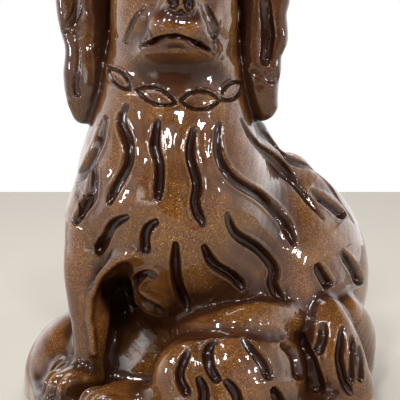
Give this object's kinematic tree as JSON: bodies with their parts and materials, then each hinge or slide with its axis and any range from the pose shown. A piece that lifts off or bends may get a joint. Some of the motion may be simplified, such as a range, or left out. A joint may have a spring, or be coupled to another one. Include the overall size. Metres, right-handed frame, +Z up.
{
  "type": "pottery dog figurine",
  "caption": "Seated long-eared spaniel in glossy brown-glazed pottery, with incised fur and a chain collar, on a low oval base cast with it.",
  "frame": {"origin": "centre of the bounding box on the flat underside of the base", "axes": "+Z up; the face looks along -Y; +X is at the viewer's right when the face is seen from the front"},
  "size_m": [0.1763, 0.1638, 0.2334],
  "materials": {
    "treacle_glaze": "glossy clear glaze over a brown body, golden where thin and almost black where it pools"
  },
  "bodies": {
    "root": {"spaniel_figure": "treacle_glaze"}
  },
  "joints": []
}
